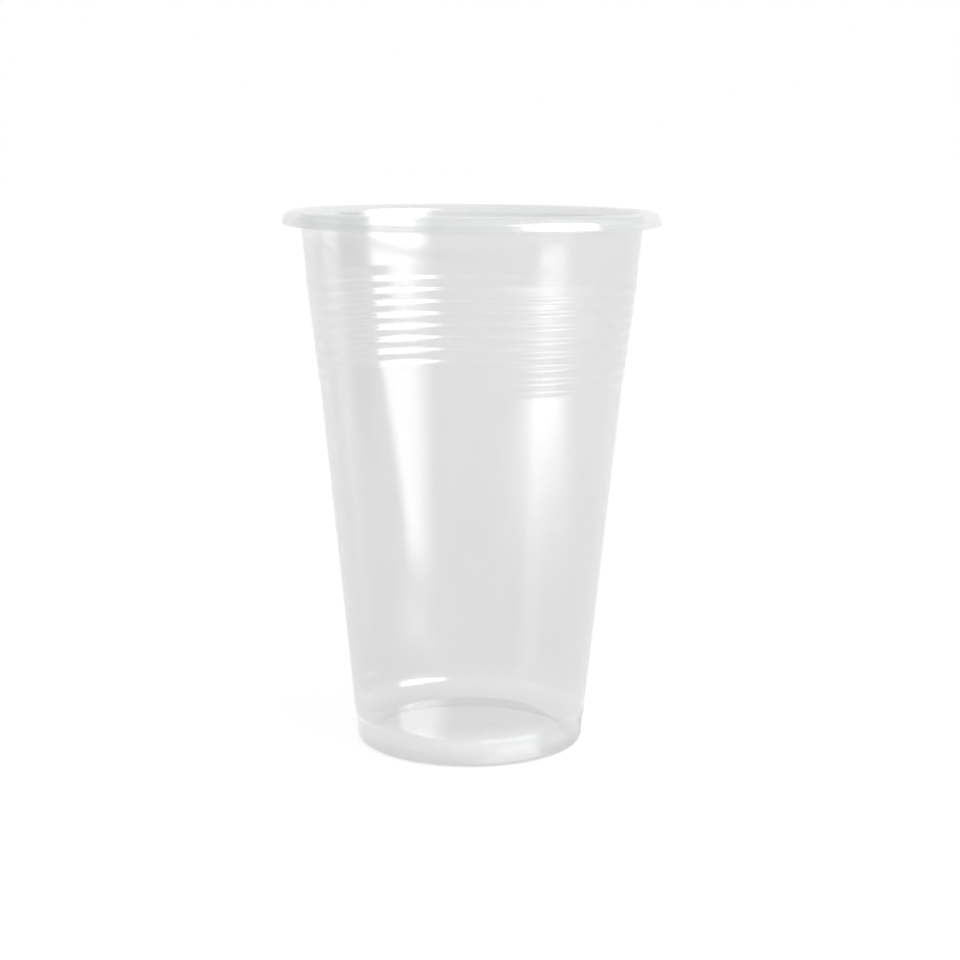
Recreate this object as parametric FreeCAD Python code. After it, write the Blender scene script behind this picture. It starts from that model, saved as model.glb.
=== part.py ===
import FreeCAD, Part
import math
import os

# A clear 200 ml polypropylene drinking cup, thermoformed in one piece from
# thin sheet. Millimetres, +Z up. The origin is the centre of the circle that
# the foot stands on, so the cup rests on z = 0.
#
# The section is drawn once, as the line of the face that lay on the mould:
# the underside of the base, the outside of the wall and the inside of the
# rolled lip. The face on the drink's side is the same line moved by the sheet.

# Sheet
sheet = 0.2

# Rolled lip, measured on the face that shows. Its diameter is that of its sharp
# lower corner, and the round there brings the finished lip to 70.3 mm across.
height = 100.5
lip_diameter = 70.42
lip_overhang = 3.51
lip_height = 2.75
lip_flare = 0.5
lip_inner_round = 1.4
lip_outer_round = 1.7
lip_lower_round = 0.45
curl_gap = 0.55
curl_return = 0.9
curl_round = 0.7

# Ribs, counted down from the lip, each a fine shingle that steps inwards.
# Their bends are slight, so a real round there lies within 0.04 mm of a sharp one.
# A plain band, nearly upright, leads from the wall above to the first of them.
rib_count = 8
rib_pitch = 2.39
rib_drop = 14.1
rib_depth = 0.285
rib_step = 0.75
rib_lead = 2.2
rib_lean = 0.03
rib_band_step = 0.42

# Foot below the stacking shoulder
foot_diameter = 43.0
foot_flare = 0.2
shoulder_height = 4.75
shoulder_rise = 0.85
shoulder_step = 0.37
shoulder_round = 0.5
foot_round = 1.15

# Base: a flat ring to stand on, a sloping riser and a raised floor
ring_width = 1.15
ring_round = 0.8
riser_run = 4.0
floor_height = 3.1
floor_round = 0.8

# Two blank pads embossed in the floor
pad_width = 4.2
pad_length = 6.0
pad_round = 1.2
pad_rise = 0.2
pad_spacing = 9.4
pad_offset = -7.6

# Worked out from the above
lip_radius = lip_diameter / 2
foot_radius = foot_diameter / 2
lip_bottom = height - lip_height
mouth_radius = lip_radius - lip_overhang
shoulder_top = shoulder_height + shoulder_rise
shoulder_radius = foot_radius + foot_flare
wall_radius = shoulder_radius + shoulder_step
ring_inner = foot_radius - foot_round - ring_width
floor_radius = ring_inner - riser_run
taper = (mouth_radius - rib_band_step - wall_radius) / (lip_bottom - shoulder_top)
first_crest = height - rib_drop
last_crest = first_crest - (rib_count - 1) * rib_pitch


def lower_wall(z):
    """Outside radius of the plain wall between the shoulder and the ribs."""
    return wall_radius + taper * (z - shoulder_top)


def upper_wall(z):
    """Outside radius of the plain wall between the ribs and the lip."""
    return mouth_radius + taper * (z - lip_bottom)


def base_corners():
    """Corners of the mould line from the axis out to the top of the shoulder."""
    return [
        (0, floor_height, 0),
        (floor_radius, floor_height, floor_round),
        (ring_inner, 0, ring_round),
        (foot_radius, 0, foot_round),
        (shoulder_radius, shoulder_height, shoulder_round),
        (wall_radius, shoulder_top, shoulder_round),
    ]


def rib_corners():
    """Corners of the ribs from the lowest up: a trough, then its crest."""
    lead_top = first_crest + rib_lead
    low = lower_wall(last_crest - rib_step) + rib_depth
    high = upper_wall(lead_top) - rib_lean
    corners = []
    for index in range(rib_count):
        z = last_crest + index * rib_pitch
        share = index / max(rib_count - 1, 1)
        crest = low + (high - low) * share
        corners.append((crest - rib_depth, z - rib_step, 0))
        corners.append((crest, z, 0))
    corners.append((upper_wall(lead_top), lead_top, 0))
    return corners


def lip_corners():
    """Corners of the rolled lip, over the top, down outside and back under."""
    top = height - sheet
    outer = lip_radius - sheet
    bottom = lip_bottom + sheet
    end = upper_wall(bottom) + curl_gap + sheet
    return [
        (upper_wall(top), top, lip_inner_round - sheet),
        (outer - lip_flare, top, lip_outer_round - sheet),
        (outer, bottom, lip_lower_round - sheet),
        (end, bottom, curl_round - sheet),
        (end, bottom + curl_return, 0),
    ]


def unit(start, end):
    """Unit direction in the section from one corner to the next."""
    dr = end[0] - start[0]
    dz = end[1] - start[1]
    length = math.hypot(dr, dz)
    return dr / length, dz / length


def drink_side(corners):
    """The same corners moved by the sheet, to the left of their direction."""
    moved = []
    last = len(corners) - 1
    for index, (r, z, round_) in enumerate(corners):
        before = unit(corners[max(index - 1, 0)], corners[max(index, 1)])
        after = unit(corners[min(index, last - 1)], corners[min(index + 1, last)])
        cosine = before[0] * after[0] + before[1] * after[1]
        turn = before[0] * after[1] - before[1] * after[0]
        reach = sheet / (1 + cosine)
        normal_r = -(before[1] + after[1]) * reach
        normal_z = (before[0] + after[0]) * reach
        if round_ and turn > 0:
            round_ = max(round_ - sheet, 0)
        elif round_:
            round_ = round_ + sheet
        moved.append((r + normal_r, z + normal_z, round_))
    return moved


def edges(corners):
    """Straight edges from corner to corner, with a tangent arc at each round one."""
    made = []
    start = FreeCAD.Vector(corners[0][0], 0, corners[0][1])
    for index in range(1, len(corners) - 1):
        r, z, round_ = corners[index]
        corner = FreeCAD.Vector(r, 0, z)
        if not round_:
            made.append(Part.LineSegment(start, corner).toShape())
            start = corner
            continue
        back = unit(corners[index], corners[index - 1])
        on = unit(corners[index], corners[index + 1])
        half = math.acos(back[0] * on[0] + back[1] * on[1]) / 2
        back = FreeCAD.Vector(back[0], 0, back[1])
        on = FreeCAD.Vector(on[0], 0, on[1])
        run = round_ / math.tan(half)
        middle = (back + on).normalize() * (round_ / math.sin(half) - round_)
        leave = corner + back * run
        arrive = corner + on * run
        made.append(Part.LineSegment(start, leave).toShape())
        made.append(Part.Arc(leave, corner + middle, arrive).toShape())
        start = arrive
    end = FreeCAD.Vector(corners[-1][0], 0, corners[-1][1])
    made.append(Part.LineSegment(start, end).toShape())
    return made


def shell():
    """The sheet's closed section turned about the axis."""
    mould = base_corners() + rib_corners() + lip_corners()
    drink = drink_side(mould)
    outside = edges(mould)
    inside = edges(drink)
    cut_edge = Part.LineSegment(
        FreeCAD.Vector(mould[-1][0], 0, mould[-1][1]),
        FreeCAD.Vector(drink[-1][0], 0, drink[-1][1]),
    ).toShape()
    axis_edge = Part.LineSegment(
        FreeCAD.Vector(drink[0][0], 0, drink[0][1]),
        FreeCAD.Vector(mould[0][0], 0, mould[0][1]),
    ).toShape()
    section = Part.Wire(outside + [cut_edge] + inside[::-1] + [axis_edge])
    face = Part.Face(section)
    return face.revolve(FreeCAD.Vector(0, 0, 0), FreeCAD.Vector(0, 0, 1), 360)


def pad(side, inset, bottom, top):
    """An upright block with rounded corners at one pad's place."""
    width = pad_width - 2 * inset
    length = pad_length - 2 * inset
    corner = FreeCAD.Vector(
        side * pad_spacing / 2 - width / 2,
        pad_offset - length / 2,
        bottom,
    )
    block = Part.makeBox(width, length, top - bottom, corner)
    uprights = [edge for edge in block.Edges if abs(edge.tangentAt(edge.FirstParameter).z) > 0.5]
    return block.makeFillet(pad_round - inset, uprights)


def emboss(cup, side):
    """The cup with one pad raised on the floor and hollow underneath."""
    floor_top = floor_height + sheet
    raised = pad(side, 0, floor_height, floor_top + pad_rise)
    hollow = pad(side, sheet, floor_height - sheet, floor_height + pad_rise)
    return cup.fuse(raised).cut(hollow)


def cup():
    """The whole cup."""
    made = shell()
    for side in (-1, 1):
        made = emboss(made, side)
    return made.removeSplitter()


os.makedirs("parts", exist_ok=True)
shape = cup()
if shape.ShapeType != "Solid":
    shape = shape.Solids[0]
shape.exportStep("parts/cup.step")
print("valid", shape.isValid(), "solids", len(shape.Solids), "faces", len(shape.Faces))
print("volume cm3", round(shape.Volume / 1000, 3), "area cm2", round(shape.Area / 100, 1))
print("box", shape.BoundBox)
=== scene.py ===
# %% [markdown]
# # A clear plastic cup
#
# This lesson dresses one thin, clear drinking cup. It is a single piece of
# plastic sheet that was warmed, sucked into a mould and cut out, so all of its
# looks come from three things: the line of its section, how the sheet lets
# light through, and what the sheet mirrors. We take them in that order.
#
# We begin with the frame. It holds the cup as it was constructed, at its real
# size and place, and everything below is measured from it.

# %% Load the frame
import math

import bpy
from mathutils import Matrix, Vector


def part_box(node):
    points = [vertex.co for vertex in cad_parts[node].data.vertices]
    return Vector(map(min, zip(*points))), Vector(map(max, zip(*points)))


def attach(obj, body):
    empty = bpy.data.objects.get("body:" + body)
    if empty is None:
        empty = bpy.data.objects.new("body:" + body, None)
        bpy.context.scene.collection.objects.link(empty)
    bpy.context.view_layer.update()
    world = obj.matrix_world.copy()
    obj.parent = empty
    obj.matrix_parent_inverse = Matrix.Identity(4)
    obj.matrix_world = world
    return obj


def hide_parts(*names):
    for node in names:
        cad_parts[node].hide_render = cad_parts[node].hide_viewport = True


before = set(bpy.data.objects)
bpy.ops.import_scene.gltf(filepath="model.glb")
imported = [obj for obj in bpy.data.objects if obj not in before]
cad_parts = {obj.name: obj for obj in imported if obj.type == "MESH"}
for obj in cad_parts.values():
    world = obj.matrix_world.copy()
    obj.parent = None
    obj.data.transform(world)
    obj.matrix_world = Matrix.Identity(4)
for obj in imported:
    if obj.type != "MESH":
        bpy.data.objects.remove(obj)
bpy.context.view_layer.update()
CUP_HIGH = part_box("cup")[1]
MM = 0.001
HEIGHT = CUP_HIGH.z
print("cup height", round(HEIGHT / MM, 2), "mm, across", round(2 * CUP_HIGH.x / MM, 2), "mm")

# %% [markdown]
# ## Two helpers for node trees
#
# Node trees are easier to read as sums than as lists of boxes and wires. One
# class holds a socket and turns each Python operator into a Math node. The
# other makes any node, sets it and feeds it, for meshes and materials alike.

# %% A socket that can be added and multiplied
class Reading:
    """A socket in a Python sum; each operator adds one Math node."""

    def __init__(self, graph, socket):
        self.graph = graph
        self.socket = socket

    def math(self, operation, *others):
        inputs = {0: self}
        for place, other in enumerate(others):
            inputs[place + 1] = other
        return self.graph.read("ShaderNodeMath", {"operation": operation}, inputs)

    def __add__(self, other):
        return self.math("ADD", other)

    __radd__ = __add__

    def __sub__(self, other):
        return self.math("SUBTRACT", other)

    def __rsub__(self, other):
        return (self * -1) + other

    def __mul__(self, other):
        return self.math("MULTIPLY", other)

    __rmul__ = __mul__

    def __truediv__(self, other):
        return self.math("DIVIDE", other)

    def __rtruediv__(self, other):
        return self.math("POWER", -1) * other

    def __abs__(self):
        return self.math("ABSOLUTE")


# %% A tree that makes, sets and feeds its nodes
class Graph:
    """A node tree written as Python expressions."""

    def __init__(self, tree):
        self.tree = tree

    def node(self, kind, settings=None, inputs=None):
        made = self.tree.nodes.new(kind)
        for name, value in (settings or {}).items():
            if name == "stops":
                self.set_stops(made.color_ramp, value)
            else:
                setattr(made, name, value)
        for key, value in (inputs or {}).items():
            self.feed(made.inputs[key], value)
        return made

    def set_stops(self, ramp, stops):
        while len(ramp.elements) < len(stops):
            ramp.elements.new(0.5)
        for element, (place, colour) in zip(ramp.elements, stops):
            element.position = place
            element.color = colour

    def feed(self, socket, value):
        if isinstance(value, Reading):
            value = value.socket
        if isinstance(value, bpy.types.NodeSocket):
            self.tree.links.new(value, socket)
        else:
            socket.default_value = value

    def read(self, kind, settings=None, inputs=None, output=0):
        return Reading(self, self.node(kind, settings, inputs).outputs[output])


# %% [markdown]
# ## The section
#
# A turned thing is known by its section. We write the line of the face that
# lay on the mould as a few corners, each with the radius that rounds it, from
# the middle of the base out to the wall, up the ribs and over the lip. The
# drink's side is the same line moved by the thickness of the sheet, so a bend
# that is tight on one face is wide on the other, as in real sheet. The lip's
# radius is taken at its sharp lower corner, and it is a hair less than the
# construction's, so that no round point stands outside the frame's flat facets.

# %% Sizes of the sheet, the lip and the ribs
SHEET = 0.2 * MM
LIP_RADIUS = 35.19 * MM
LIP_OVERHANG = 3.49 * MM
LIP_HEIGHT = 2.75 * MM
LIP_INNER_ROUND = 1.4 * MM
LIP_FLARE = 0.5 * MM
LIP_OUTER_ROUND = 1.7 * MM
LIP_LOWER_ROUND = 0.45 * MM
CURL_GAP = 0.55 * MM
CURL_RETURN = 0.9 * MM
CURL_ROUND = 0.7 * MM

RIB_COUNT = 8
RIB_PITCH = 2.39 * MM
RIB_DROP = 14.1 * MM
RIB_DEPTH = 0.285 * MM
RIB_STEP = 0.75 * MM
RIB_LEAD = 2.2 * MM
RIB_LEAN = 0.03 * MM
RIB_BAND_STEP = 0.42 * MM
RIB_ROUND = 1.8 * MM

# %% Sizes of the foot and the base
FOOT_RADIUS = 21.5 * MM
FOOT_FLARE = 0.2 * MM
FOOT_ROUND = 1.15 * MM
SHOULDER_HEIGHT = 4.75 * MM
SHOULDER_RISE = 0.85 * MM
SHOULDER_STEP = 0.37 * MM
SHOULDER_ROUND = 0.5 * MM
RING_WIDTH = 1.15 * MM
RING_ROUND = 0.8 * MM
RISER_RUN = 4.0 * MM
FLOOR_HEIGHT = 3.1 * MM
FLOOR_ROUND = 0.8 * MM

# %% Points in each kind of round, and the sizes worked out from those above
PLAIN_POINTS = 1
SHOULDER_POINTS = 4
LEAD_POINTS = 4
RISER_POINTS = 5
RIB_POINTS = 5
CURL_POINTS = 7
FOOT_POINTS = 9
LIP_POINTS = 10

LIP_BOTTOM = HEIGHT - LIP_HEIGHT
MOUTH_RADIUS = LIP_RADIUS - LIP_OVERHANG
SHOULDER_TOP = SHOULDER_HEIGHT + SHOULDER_RISE
SHOULDER_RADIUS = FOOT_RADIUS + FOOT_FLARE
WALL_RADIUS = SHOULDER_RADIUS + SHOULDER_STEP
RING_INNER = FOOT_RADIUS - FOOT_ROUND - RING_WIDTH
FLOOR_RADIUS = RING_INNER - RISER_RUN
TAPER = (MOUTH_RADIUS - RIB_BAND_STEP - WALL_RADIUS) / (LIP_BOTTOM - SHOULDER_TOP)
FIRST_CREST = HEIGHT - RIB_DROP
LAST_CREST = FIRST_CREST - (RIB_COUNT - 1) * RIB_PITCH


# %% Corners of the mould's side: radius, height, round and points in the round
def lower_wall(z):
    """Outside radius of the plain wall between the shoulder and the ribs."""
    return WALL_RADIUS + TAPER * (z - SHOULDER_TOP)


def upper_wall(z):
    """Outside radius of the plain wall between the ribs and the lip."""
    return MOUTH_RADIUS + TAPER * (z - LIP_BOTTOM)


def base_corners(rows=40, first=0.22, last=0.9):
    """The floor in fine rows, for the pads, then the riser, ring and foot."""
    corners = [(0, FLOOR_HEIGHT, 0, PLAIN_POINTS)]
    for row in range(rows + 1):
        share = first + (last - first) * row / rows
        corners.append((FLOOR_RADIUS * share, FLOOR_HEIGHT, 0, PLAIN_POINTS))
    return corners + [
        (FLOOR_RADIUS, FLOOR_HEIGHT, FLOOR_ROUND, RISER_POINTS),
        (RING_INNER, 0, RING_ROUND, RISER_POINTS),
        (FOOT_RADIUS, 0, FOOT_ROUND, FOOT_POINTS),
        (SHOULDER_RADIUS, SHOULDER_HEIGHT, SHOULDER_ROUND, SHOULDER_POINTS),
        (WALL_RADIUS, SHOULDER_TOP, SHOULDER_ROUND, SHOULDER_POINTS),
    ]


def rib_corners():
    """Each rib from the lowest up: its trough, then its crest."""
    top = FIRST_CREST + RIB_LEAD
    low = lower_wall(LAST_CREST - RIB_STEP) + RIB_DEPTH
    high = upper_wall(top) - RIB_LEAN
    corners = []
    for index in range(RIB_COUNT):
        z = LAST_CREST + index * RIB_PITCH
        crest = low + (high - low) * index / (RIB_COUNT - 1)
        corners.append((crest - RIB_DEPTH, z - RIB_STEP, RIB_ROUND, RIB_POINTS))
        corners.append((crest, z, RIB_ROUND, RIB_POINTS))
    return corners + [(upper_wall(top), top, RIB_ROUND, LEAD_POINTS)]


def lip_corners():
    """Over the top, down outside, back under and up inside the curl."""
    top = HEIGHT - SHEET
    outer = LIP_RADIUS - SHEET
    bottom = LIP_BOTTOM + SHEET
    end = upper_wall(bottom) + CURL_GAP + SHEET
    return [
        (upper_wall(top), top, LIP_INNER_ROUND - SHEET, LIP_POINTS),
        (outer - LIP_FLARE, top, LIP_OUTER_ROUND - SHEET, LIP_POINTS),
        (outer, bottom, LIP_LOWER_ROUND - SHEET, LIP_POINTS),
        (end, bottom, CURL_ROUND - SHEET, CURL_POINTS),
        (end, bottom + CURL_RETURN, 0, PLAIN_POINTS),
    ]


# %% The drink's side, one sheet away, and support rows beside each round
SUPPORT = 0.12 * MM
SUPPORT_ROOM = 3 * SUPPORT


def unit(start, end):
    """Unit direction in the section from one corner to the next."""
    direction = Vector((end[0] - start[0], end[1] - start[1]))
    return direction.normalized()


def drink_side(corners):
    """The corners moved by the sheet, to the left of the line's direction."""
    moved = []
    last = len(corners) - 1
    for index, (r, z, round_, count) in enumerate(corners):
        before = unit(corners[max(index - 1, 0)], corners[max(index, 1)])
        after = unit(corners[min(index, last - 1)], corners[min(index + 1, last)])
        reach = SHEET / (1 + before.dot(after))
        turn = before.x * after.y - before.y * after.x
        if round_:
            round_ -= math.copysign(SHEET, turn)
        moved.append((
            r - (before.y + after.y) * reach,
            z + (before.x + after.x) * reach,
            max(round_, 0),
            count,
        ))
    return moved


def tangent_run(corners, index):
    """How far a corner's round reaches along the straights beside it."""
    if index in (0, len(corners) - 1):
        return 0
    before = unit(corners[index - 1], corners[index])
    after = unit(corners[index], corners[index + 1])
    return corners[index][2] * math.tan(before.angle(after, 0) / 2)


def supported(corners):
    """The corners with a plain point near both ends of each longer straight."""
    made = []
    for index in range(len(corners) - 1):
        start = Vector(corners[index][:2])
        end = Vector(corners[index + 1][:2])
        made.append(corners[index])
        near = tangent_run(corners, index) + SUPPORT
        far = tangent_run(corners, index + 1) + SUPPORT
        length = (end - start).length
        if length > near + far + SUPPORT_ROOM:
            made.append((*start.lerp(end, near / length), 0, PLAIN_POINTS))
            made.append((*start.lerp(end, 1 - far / length), 0, PLAIN_POINTS))
    return made + [corners[-1]]


def section():
    """The closed line of the sheet, from the axis round the lip and back."""
    mould = base_corners() + rib_corners() + lip_corners()
    drink = drink_side(mould)
    return supported(mould) + supported(drink)[::-1]


SECTION = section()
print("section corners", len(SECTION))

# %% [markdown]
# ## Turning the section
#
# A lathe could be done with the Screw modifier, but the cup is a rule, so we
# let Geometry Nodes follow it. A flat grid has one column for each angle and
# one row for each point of the section. Every grid point looks up its row's
# radius and height and goes to its column's angle. Merging closes the seam
# and the two poles. The same tree raises two blank pads in the floor, on both
# faces at once, as a mould does.

# %% Sizes of the pads and the fineness of the turning
PADS = {
    "Pad Width": 4.2 * MM,
    "Pad Length": 6.0 * MM,
    "Pad Round": 1.2 * MM,
    "Pad Rise": 0.2 * MM,
    "Pad Edge": 0.35 * MM,
    "Pad Spacing": 9.4 * MM,
    "Pad Offset": -7.6 * MM,
}
SEGMENTS = 200
WELD = 0.002 * MM


# %% The section as a chain that carries its rounds
def section_chain(name, corners):
    """A chain of edges whose points know their round and its points."""
    mesh = bpy.data.meshes.new(name)
    points = [(r, 0, z) for r, z, round_, count in corners]
    edges = [(index, index + 1) for index in range(len(points) - 1)]
    mesh.from_pydata(points, edges, [])
    rounds = mesh.attributes.new("round", "FLOAT", "POINT")
    rounds.data.foreach_set("value", [corner[2] for corner in corners])
    counts = mesh.attributes.new("count", "INT", "POINT")
    counts.data.foreach_set("value", [corner[3] for corner in corners])
    made = bpy.data.objects.new(name, mesh)
    bpy.context.scene.collection.objects.link(made)
    return made


# %% The pads as a distance from a rounded rectangle
def pad_mask(graph, place, given):
    """1 on the pads and 0 beside them, with a soft edge."""
    across = abs(abs(place["X"]) - given["Pad Spacing"] * 0.5)
    along = abs(place["Y"] - given["Pad Offset"])
    beside = across - (given["Pad Width"] * 0.5 - given["Pad Round"])
    beyond = along - (given["Pad Length"] * 0.5 - given["Pad Round"])
    outside_x = beside.math("MAXIMUM", 0)
    outside_y = beyond.math("MAXIMUM", 0)
    outside = (outside_x * outside_x + outside_y * outside_y).math("SQRT")
    inside = beside.math("MAXIMUM", beyond).math("MINIMUM", 0)
    distance = outside + inside - given["Pad Round"]
    return graph.read(
        "ShaderNodeMapRange",
        {"interpolation_type": "SMOOTHSTEP"},
        {
            "Value": distance,
            "From Min": given["Pad Edge"] * -0.5,
            "From Max": given["Pad Edge"] * 0.5,
            "To Min": 1,
            "To Max": 0,
        },
    )


# %% The tree that turns a section
def parts_of(graph, vector):
    """The X, Y and Z of a vector."""
    split = graph.node("ShaderNodeSeparateXYZ", inputs={0: vector})
    return {name: Reading(graph, split.outputs[name]) for name in ("X", "Y", "Z")}


def carried(graph, name, kind):
    """A number that the points of the line carry."""
    return graph.read("GeometryNodeInputNamedAttribute", {"data_type": kind}, {"Name": name})


def turning_tree(name, sizes):
    """The tree that turns a line about the Z axis and raises the pads."""
    tree = bpy.data.node_groups.new(name, "GeometryNodeTree")
    graph = Graph(tree)
    add = tree.interface.new_socket
    add("Section", in_out="INPUT", socket_type="NodeSocketGeometry")
    add("Segments", in_out="INPUT", socket_type="NodeSocketInt")
    for size in sizes:
        add(size, in_out="INPUT", socket_type="NodeSocketFloat")
    add("Material", in_out="INPUT", socket_type="NodeSocketMaterial")
    add("Shell", in_out="OUTPUT", socket_type="NodeSocketGeometry")
    source = graph.node("NodeGroupInput")
    given = {s.name: Reading(graph, s) for s in source.outputs if s.name}

    line = graph.read("GeometryNodeMeshToCurve", inputs={"Mesh": given["Section"]})
    count = carried(graph, "count", "INT")
    radius = carried(graph, "round", "FLOAT")
    line = graph.read(
        "GeometryNodeFilletCurve",
        {"mode": "POLY"},
        {"Curve": line, "Count": count, "Radius": radius},
    )
    rows = graph.read("GeometryNodeAttributeDomainSize", {"component": "CURVE"}, {"Geometry": line})
    grid = graph.read(
        "GeometryNodeMeshGrid",
        inputs={
            "Size X": given["Segments"],
            "Size Y": rows - 1,
            "Vertices X": given["Segments"] + 1,
            "Vertices Y": rows,
        },
    )

    flat = parts_of(graph, graph.read("GeometryNodeInputPosition"))
    row = (flat["Y"] + (rows - 1) * 0.5).math("ROUND")
    angle = (flat["X"] + given["Segments"] * 0.5) * math.tau / given["Segments"]
    here = graph.read(
        "GeometryNodeSampleIndex",
        {"data_type": "FLOAT_VECTOR", "domain": "POINT", "clamp": True},
        {"Geometry": line, "Value": graph.read("GeometryNodeInputPosition"), "Index": row},
    )
    here = parts_of(graph, here)
    turned = graph.read(
        "ShaderNodeCombineXYZ",
        inputs={
            "X": here["X"] * angle.math("COSINE"),
            "Y": here["X"] * angle.math("SINE"),
            "Z": here["Z"],
        },
    )
    shell = graph.read("GeometryNodeSetPosition", inputs={"Geometry": grid, "Position": turned})

    place = parts_of(graph, graph.read("GeometryNodeInputPosition"))
    rise = pad_mask(graph, place, given) * given["Pad Rise"]
    lift = graph.read("ShaderNodeCombineXYZ", inputs={"Z": rise})
    shell = graph.read("GeometryNodeSetPosition", inputs={"Geometry": shell, "Offset": lift})

    shell = graph.read("GeometryNodeMergeByDistance", inputs={"Geometry": shell, "Distance": WELD})
    shell = graph.read("GeometryNodeSetShadeSmooth", inputs={"Geometry": shell})
    shell = graph.read("GeometryNodeRealizeInstances", inputs={"Geometry": shell})
    shell = graph.read(
        "GeometryNodeSetMaterial",
        inputs={"Geometry": shell, "Material": given["Material"]},
    )
    graph.node("NodeGroupOutput", inputs={"Shell": shell})
    return tree


# %% Run a tree on an object and keep its result as a plain mesh
def grown(name, source, tree, values):
    """The finished mesh of a tree, as a new piece; the source is spent."""
    modifier = source.modifiers.new(name, "NODES")
    modifier.node_group = tree
    for item in tree.interface.items_tree:
        if item.item_type == "SOCKET" and item.name in values:
            modifier[item.identifier] = values[item.name]
    depsgraph = bpy.context.evaluated_depsgraph_get()
    mesh = bpy.data.meshes.new_from_object(source.evaluated_get(depsgraph))
    mesh.name = name
    made = bpy.data.objects.new(name, mesh)
    bpy.context.scene.collection.objects.link(made)
    spent = source.data
    bpy.data.objects.remove(source)
    bpy.data.meshes.remove(spent)
    return made


# %% [markdown]
# ## Clear polypropylene
#
# The sheet is too thin to bend what is seen through it, so it needs no glass.
# At each face a little light is scattered by haze, a little is mirrored, and
# the rest goes straight on. Two Mix Shaders say exactly that, and the faces of
# both walls add up by themselves. The wall is stretched thin in the mould and
# stays clear, while the lip and the base keep more plastic and look milky, so
# the haze takes its colour from the height, and the lip has a little more of it.
# The same colours also hold painted shade, darker on the lower wall than higher
# up. At the very bottom of the foot the haze is darker again.
# The mirrored share grows towards the edges, where the sheet is seen at a slant.

# %% Values of the plastic
HAZE_WALL = 0.14
HAZE_LIP = 0.19
LIP_SHARE = 0.968
# Haze colour by height: milky lip and base, and painted shade that darkens the lower wall
HAZE_AND_SHADE_STOPS = [
    (0.0, 0.40),
    (0.018, 0.50),
    (0.031, 0.82),
    (0.045, 0.85),
    (0.075, 0.34),
    (0.30, 0.33),
    (0.60, 0.42),
    (0.85, 0.38),
    (0.965, 0.40),
    (0.975, 0.84),
]
HAZE_TINT = (0.985, 1.0, 1.01)
GLOSS_ROUGHNESS = 0.09
GLOSS_FACING = 0.08
GLOSS_EDGE = 0.75
EDGE_POWER = 5
HAZE_ROUGHNESS = 0.5
RIPPLE_SCALE = 55
RIPPLE_DETAIL = 1
RIPPLE_ROUGHNESS = 0.4
RIPPLE_STRENGTH = 0.25
RIPPLE_DEPTH = 0.02 * MM
WHITE = (1, 1, 1, 1)


def tinted(grey):
    """The haze's colour at one depth of grey."""
    return (*(grey * part for part in HAZE_TINT), 1)


# %% The plastic's material
def clear_plastic():
    """Haze, then gloss, over whatever is seen straight through the sheet."""
    material = bpy.data.materials.new("clear polypropylene")
    material.use_nodes = True
    material.node_tree.nodes.clear()
    graph = Graph(material.node_tree)

    place = graph.node("ShaderNodeTexCoord").outputs["Object"]
    ripple = graph.read(
        "ShaderNodeTexNoise",
        inputs={
            "Vector": place,
            "Scale": RIPPLE_SCALE,
            "Detail": RIPPLE_DETAIL,
            "Roughness": RIPPLE_ROUGHNESS,
        },
    )
    bumped = graph.node(
        "ShaderNodeBump",
        inputs={"Height": ripple, "Strength": RIPPLE_STRENGTH, "Distance": RIPPLE_DEPTH},
    ).outputs["Normal"]

    share = parts_of(graph, place)["Z"] / HEIGHT
    # The haze colour by height: milky lip and base, plus painted shade on the lower wall
    milk_and_shade = graph.node(
        "ShaderNodeValToRGB",
        {"stops": [(height, tinted(grey)) for height, grey in HAZE_AND_SHADE_STOPS]},
        {"Fac": share},
    ).outputs["Color"]
    slant = graph.read("ShaderNodeLayerWeight", inputs={"Blend": 0.5}, output="Facing")
    mirrored = GLOSS_FACING + slant.math("POWER", EDGE_POWER) * (GLOSS_EDGE - GLOSS_FACING)

    through = graph.node("ShaderNodeBsdfTransparent").outputs[0]
    scattered = graph.node(
        "ShaderNodeBsdfPrincipled",
        inputs={"Base Color": milk_and_shade, "Roughness": HAZE_ROUGHNESS, "Specular IOR Level": 0},
    ).outputs[0]
    gloss = graph.node(
        "ShaderNodeBsdfGlossy",
        inputs={"Color": WHITE, "Roughness": GLOSS_ROUGHNESS, "Normal": bumped},
    ).outputs[0]
    in_lip = share.math("GREATER_THAN", LIP_SHARE)
    haze = HAZE_WALL + in_lip * (HAZE_LIP - HAZE_WALL)
    hazed = graph.node("ShaderNodeMixShader", inputs={0: haze, 1: through, 2: scattered})
    coated = graph.node("ShaderNodeMixShader", inputs={0: mirrored, 1: hazed.outputs[0], 2: gloss})
    graph.node("ShaderNodeOutputMaterial", inputs={"Surface": coated.outputs[0]})
    return material


# %% Make the cup
def make_cup():
    """The turned, dressed cup in the place of the plain one."""
    values = dict(PADS)
    values["Segments"] = SEGMENTS
    values["Material"] = clear_plastic()
    tree = turning_tree("turned sheet", PADS)
    made = grown("moulded_cup", section_chain("cup section", SECTION), tree, values)
    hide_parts("cup")
    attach(made, "root")
    return made


CUP = make_cup()
print("cup triangles", sum(len(face.vertices) - 2 for face in CUP.data.polygons))


# %% [markdown]
# ## The camera
#
# The photograph was taken from close by, a little above the rim. Fitting the
# rim, the ribs and the foot gives the distance, the height, the tilt and the
# lens, so the camera is placed by those numbers.

# %% Camera
CAMERA_DISTANCE = 379.7 * MM
CAMERA_HEIGHT = 114.75 * MM
CAMERA_SIDE = 1.75 * MM
CAMERA_TILT = math.radians(9.70)
CAMERA_ROLL = math.radians(0.34)
CAMERA_LENS = 76.39
CAMERA_CLIP = 10 * MM


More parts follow.
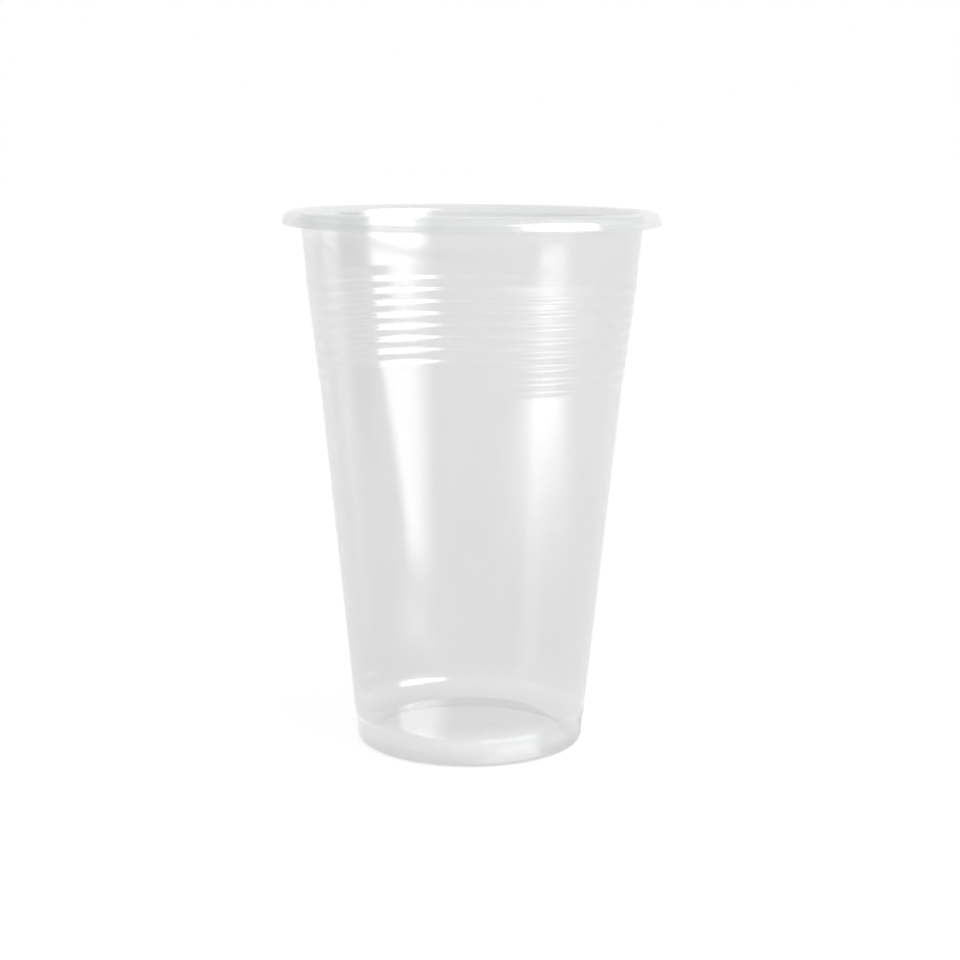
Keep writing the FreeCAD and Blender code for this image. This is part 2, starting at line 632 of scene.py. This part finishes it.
def make_camera():
    data = bpy.data.cameras.new("camera")
    data.lens = CAMERA_LENS
    data.clip_start = CAMERA_CLIP
    camera = bpy.data.objects.new("camera", data)
    place = Matrix.Translation((CAMERA_SIDE, -CAMERA_DISTANCE, CAMERA_HEIGHT))
    tilt = Matrix.Rotation(math.pi / 2 - CAMERA_TILT, 4, "X")
    camera.matrix_world = place @ tilt @ Matrix.Rotation(CAMERA_ROLL, 4, "Z")
    bpy.context.scene.collection.objects.link(camera)
    bpy.context.scene.camera = camera


make_camera()
print("camera", round(CAMERA_DISTANCE / MM), "mm from the axis, lens", CAMERA_LENS, "mm")

# %% [markdown]
# ## Floor, surroundings and lamp
#
# The cup stands on a matt white floor in front of nothing but white. The world
# is white to the camera and to what mirrors or bends light, and a softer grey
# to everything else, so the haze in the plastic isn't overlit. The floor glows
# a little for the same rays, more far off than near, because the lamp's light
# falls away there. One soft lamp at the front right gives the cup its shadow.

# %% The white surroundings
AMBIENT = 0.66


def ray_is(graph, *names):
    """1 for rays of the named kinds and 0 for the others."""
    path = graph.node("ShaderNodeLightPath")
    seen = Reading(graph, path.outputs[names[0]])
    for name in names[1:]:
        seen = seen.math("MAXIMUM", Reading(graph, path.outputs[name]))
    return seen


def is_seen(graph):
    """1 where the camera sees, mirrors or looks through, 0 for plain lighting."""
    return ray_is(graph, "Is Camera Ray", "Is Glossy Ray", "Is Transmission Ray")


def make_world():
    world = bpy.data.worlds.new("white studio")
    world.use_nodes = True
    world.node_tree.nodes.clear()
    graph = Graph(world.node_tree)
    strength = AMBIENT + is_seen(graph) * (1 - AMBIENT)
    sky = graph.node("ShaderNodeBackground", inputs={"Color": WHITE, "Strength": strength})
    graph.node("ShaderNodeOutputWorld", inputs={"Surface": sky.outputs[0]})
    bpy.context.scene.world = world


make_world()

# %% The floor
FLOOR_SIZE = 8.0
FLOOR_DROP = 0.1 * MM
FLOOR_GLOW_NEAR = 0.40
FLOOR_GLOW_FAR = 0.44
FLOOR_GLOW_REACH = (0.1, 1.0)
FLOOR_COLOUR = (0.9, 0.9, 0.9, 1)
FLOOR_ROUGHNESS = 0.6


def ramp(value, start, end):
    """0 below start, 1 above end and a soft rise between them."""
    return value.graph.read(
        "ShaderNodeMapRange",
        {"interpolation_type": "SMOOTHSTEP"},
        {"Value": value, "From Min": start, "From Max": end},
    )


def reach_of(place):
    """How far a place lies from the cup's axis."""
    return (place["X"] * place["X"] + place["Y"] * place["Y"]).math("SQRT")


def plane(name, corners):
    """One flat face that belongs to the stage and not to the cup."""
    mesh = bpy.data.meshes.new(name)
    mesh.from_pydata(corners, [], [(0, 1, 2, 3)])
    made = bpy.data.objects.new(name, mesh)
    bpy.context.scene.collection.objects.link(made)
    return made


def surface(name, piece):
    """A new empty material on a piece, as a graph."""
    material = bpy.data.materials.new(name)
    material.use_nodes = True
    material.node_tree.nodes.clear()
    piece.data.materials.append(material)
    return Graph(material.node_tree)


def make_floor():
    half = FLOOR_SIZE / 2
    square = [(-half, -half), (half, -half), (half, half), (-half, half)]
    floor = plane("floor", [(x, y, -FLOOR_DROP) for x, y in square])
    graph = surface("white floor", floor)
    place = parts_of(graph, graph.node("ShaderNodeTexCoord").outputs["Object"])
    far_off = ramp(reach_of(place), *FLOOR_GLOW_REACH)
    glow = FLOOR_GLOW_NEAR + far_off * (FLOOR_GLOW_FAR - FLOOR_GLOW_NEAR)
    white = graph.node(
        "ShaderNodeBsdfPrincipled",
        inputs={
            "Base Color": FLOOR_COLOUR,
            "Roughness": FLOOR_ROUGHNESS,
            "Specular IOR Level": 0,
            "Emission Color": is_seen(graph) * glow,
            "Emission Strength": 1,
        },
    )
    graph.node("ShaderNodeOutputMaterial", inputs={"Surface": white.outputs[0]})


make_floor()
print("floor", FLOOR_SIZE, "m across")


# %% The softbox that lights the cup
KEY_AZIMUTH = math.radians(54)
KEY_REACH = 1.0
KEY_WIDTH = 0.98
KEY_HEIGHT = 0.60
KEY_RADIANCE = 2.3


def make_key():
    data = bpy.data.lights.new("soft key", "AREA")
    data.shape = "RECTANGLE"
    data.size = KEY_WIDTH
    data.size_y = KEY_HEIGHT
    data.energy = KEY_RADIANCE * math.pi * KEY_WIDTH * KEY_HEIGHT
    lamp = bpy.data.objects.new("soft key", data)
    side = math.sin(KEY_AZIMUTH) * KEY_REACH
    front = math.cos(KEY_AZIMUTH) * KEY_REACH
    lamp.location = (side, -front, KEY_HEIGHT / 2)
    lamp.rotation_euler = (math.pi / 2, 0, KEY_AZIMUTH)
    lamp.visible_camera = False
    lamp.visible_glossy = False
    bpy.context.scene.collection.objects.link(lamp)


make_key()
print("softbox", KEY_WIDTH, "by", KEY_HEIGHT, "m")


# %% [markdown]
# ## What the plastic mirrors
#
# On clear plastic nearly all the drawing comes from reflections, and in a
# studio these come from softboxes and cards of board. We hang such cards round
# the cup. Each is a plane that only mirrored rays can see, so it shapes the
# highlights and leaves the shadows and the plain light alone. A card's cover is
# a product of soft steps on its place: 1 where it shines and 0 where it is
# absent, and a Mix Shader blends its glow with clear. A card that glows less
# than what it hides is a flag, and it darkens what mirrors it. The large sizes
# here are in metres, and the small ones carry their MM.

# %% Soft steps on a card
def window(value, low, high, soft_low, soft_high):
    """1 between low and high, fading out over the soft widths inside them."""
    return ramp(value, low, low + soft_low) * (1 - ramp(value, high - soft_high, high))


def towards(place, azimuth):
    """How far a place lies towards an azimuth; 0 is the camera's side, 90 the right."""
    return place["X"] * math.sin(azimuth) - place["Y"] * math.cos(azimuth)


def card(name, corners, cover, radiance):
    """A card that only mirrored rays see; cover is 1 on it and 0 beside it."""
    made = plane(name, corners)
    graph = surface(name, made)
    place = parts_of(graph, graph.node("ShaderNodeTexCoord").outputs["Object"])
    light = graph.node("ShaderNodeEmission", inputs={"Color": WHITE, "Strength": radiance})
    clear = graph.node("ShaderNodeBsdfTransparent")
    both = graph.node(
        "ShaderNodeMixShader",
        inputs={0: cover(place), 1: clear.outputs[0], 2: light.outputs[0]},
    )
    graph.node("ShaderNodeOutputMaterial", inputs={"Surface": both.outputs[0]})
    made.visible_camera = False
    made.visible_diffuse = False
    made.visible_transmission = False
    made.visible_shadow = False
    print(name, "glows at", radiance)


def upright(azimuth, reach, half, height):
    """Corners of an upright card; azimuth 0 is the camera's side, 90 the right."""
    side = math.sin(azimuth)
    front = -math.cos(azimuth)
    ends = [
        (side * reach + front * turn * half, front * reach - side * turn * half)
        for turn in (1, -1)
    ]
    (x0, y0), (x1, y1) = ends
    return [(x0, y0, 0), (x1, y1, 0), (x1, y1, height), (x0, y0, height)]


def flat(x0, y0, x1, y1, z):
    """Corners of a card that lies at one height."""
    return [(x0, y0, z), (x1, y0, z), (x1, y1, z), (x0, y1, z)]


# %% The card in the place of the softbox, for the highlight on the left
FRONT_REACH = 1.0
FRONT_HALF = 0.75
FRONT_HEIGHT = 1.0
FRONT_RADIANCE = 11.0
FRONT_TIP = 0.03
FRONT_WIDENING = 2.9
FRONT_WIDEST = 0.33
FRONT_LEAN = 0.2
FRONT_LEAN_RISE = (0.48, 0.58)
FRONT_SOFT_SIDE = (-0.50, 0.0)
FRONT_FIRM_SIDE = (0.02, 0.24)
FRONT_RISE = (-0.06, 0.88, 0.08, 0.20)
FRONT_FOOT_SHARE = 0.5
FRONT_FOOT_RISE = (0.20, 0.24)


def softbox_cover(place):
    """Wide above and narrowing downwards, with one soft side and a dimmer foot."""
    across = towards(place, KEY_AZIMUTH + math.pi / 2)
    above_tip = (place["Z"] - FRONT_TIP).math("MAXIMUM", 0)
    spread = (above_tip * FRONT_WIDENING).math("MINIMUM", FRONT_WIDEST)
    leaning = across + ramp(place["Z"], *FRONT_LEAN_RISE) * FRONT_LEAN
    wide = ramp(leaning, *FRONT_SOFT_SIDE) * (1 - ramp(across - spread, *FRONT_FIRM_SIDE))
    bright = FRONT_FOOT_SHARE + ramp(place["Z"], *FRONT_FOOT_RISE) * (1 - FRONT_FOOT_SHARE)
    return wide * window(place["Z"], *FRONT_RISE) * bright


FRONT_PLACE = upright(KEY_AZIMUTH, FRONT_REACH, FRONT_HALF, FRONT_HEIGHT)
card("softbox front", FRONT_PLACE, softbox_cover, FRONT_RADIANCE)

# %% The upright flag on the right
FLAG_AZIMUTH = math.radians(98)
FLAG_REACH = 1.1
FLAG_HALF = 0.3
FLAG_HEIGHT = 1.0
FLAG_ACROSS = (-0.29, 0.30, 0.12, 0.2)
FLAG_RISE = (0.0, 0.32, 0.12, 0.08)


def flag_cover(place):
    """A soft dark panel just above the floor."""
    across = towards(place, FLAG_AZIMUTH + math.pi / 2)
    return window(across, *FLAG_ACROSS) * window(place["Z"], *FLAG_RISE)


card("flag", upright(FLAG_AZIMUTH, FLAG_REACH, FLAG_HALF, FLAG_HEIGHT), flag_cover, 0.0)

# %% The low card on the floor, for the highlight on the right
LOW_AZIMUTH = math.radians(57)
LOW_CORNERS = (0, -0.5, 0.6, 0.1)
LOW_ALONG = (0.08, 0.49, 0.20, 0.22)
LOW_ACROSS = (-0.12, 0.115, 0.09, 0.09)
LOW_RADIANCE = 3.0


def low_cover(place):
    """A soft patch that is longer towards the lamp than it is wide."""
    along = towards(place, LOW_AZIMUTH)
    across = towards(place, LOW_AZIMUTH + math.pi / 2)
    return window(along, *LOW_ALONG) * window(across, *LOW_ACROSS)


card("low card", flat(*LOW_CORNERS, 0), low_cover, LOW_RADIANCE)

# %% A card and a flag close beside the foot
FOOT_CARD_AZIMUTH = math.radians(140)
FOOT_CARD_SIDE = 50 * MM
FOOT_CARD_LIFT = 0.1 * MM
FOOT_CARD_REACH = (22 * MM, 36 * MM, 1 * MM, 8 * MM)
FOOT_CARD_ACROSS = (-20 * MM, 0, 6 * MM, 4 * MM)
FOOT_CARD_RADIANCE = 1.8
FOOT_FLAG_HALF = 40 * MM
FOOT_FLAG_LIFT = 0.05 * MM
FOOT_FLAG_REACH = (FOOT_RADIUS, 34 * MM, 0.5 * MM, 6 * MM)
FOOT_FLAG_START = (8 * MM, 20 * MM)
FOOT_FLAG_RADIANCE = 0.68


def foot_cover(place):
    """A short piece of a ring, in front of the foot and to its right."""
    across = towards(place, FOOT_CARD_AZIMUTH)
    return window(reach_of(place), *FOOT_CARD_REACH) * window(across, *FOOT_CARD_ACROSS)


def foot_flag_cover(place):
    """Close beside the foot on the right."""
    return window(reach_of(place), *FOOT_FLAG_REACH) * ramp(place["X"], *FOOT_FLAG_START)


FOOT_CARD_PLACE = flat(0, -FOOT_CARD_SIDE, FOOT_CARD_SIDE, 0, FOOT_CARD_LIFT)
FOOT_FLAG_PLACE = flat(
    -FOOT_FLAG_HALF, -FOOT_FLAG_HALF, FOOT_FLAG_HALF, FOOT_FLAG_HALF, FOOT_FLAG_LIFT
)
card("foot card", FOOT_CARD_PLACE, foot_cover, FOOT_CARD_RADIANCE)
card("foot flag", FOOT_FLAG_PLACE, foot_flag_cover, FOOT_FLAG_RADIANCE)

# %% [markdown]
# ## Finish
#
# The view transform stays plain, so that colours come out as they are set. A
# line of sight can cross many faces of the sheet, so more clear layers are let
# through than Blender's usual 8.

# %% Plain colours and clear layers
CLEAR_LAYERS = 48

bpy.context.scene.view_settings.view_transform = "Standard"
bpy.context.scene.cycles.transparent_max_bounces = CLEAR_LAYERS
